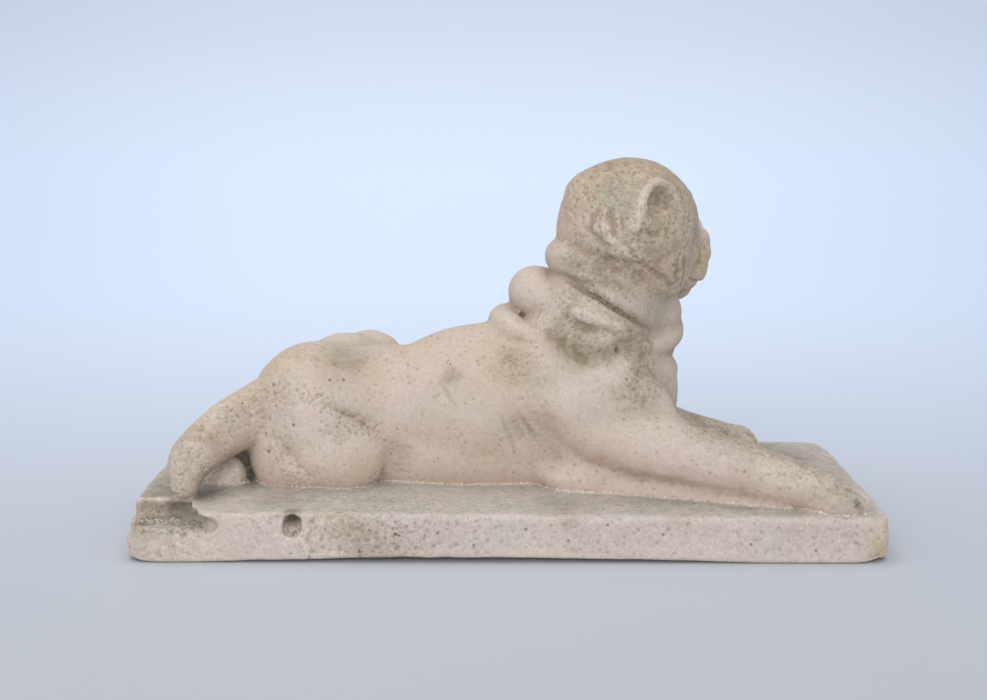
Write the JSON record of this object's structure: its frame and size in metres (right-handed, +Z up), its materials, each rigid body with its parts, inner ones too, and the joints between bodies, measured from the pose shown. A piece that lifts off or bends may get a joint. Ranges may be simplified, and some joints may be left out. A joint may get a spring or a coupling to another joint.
{
  "type": "bulldog statue",
  "caption": "Recumbent bulldog with its head turned to its left, cast in pale stone together with its thin rectangular plinth.",
  "frame": {"origin": "centre of the plinth's underside", "axes": "+X along the plinth towards the forepaws, +Y towards the side the head is turned to, +Z up"},
  "size_m": [0.4721, 0.1868, 0.2424],
  "materials": {
    "cast_stone": "matt pinkish beige cast stone, weathered, pitted and stained"
  },
  "bodies": {
    "root": {"bulldog_statue": "cast_stone"}
  },
  "joints": []
}
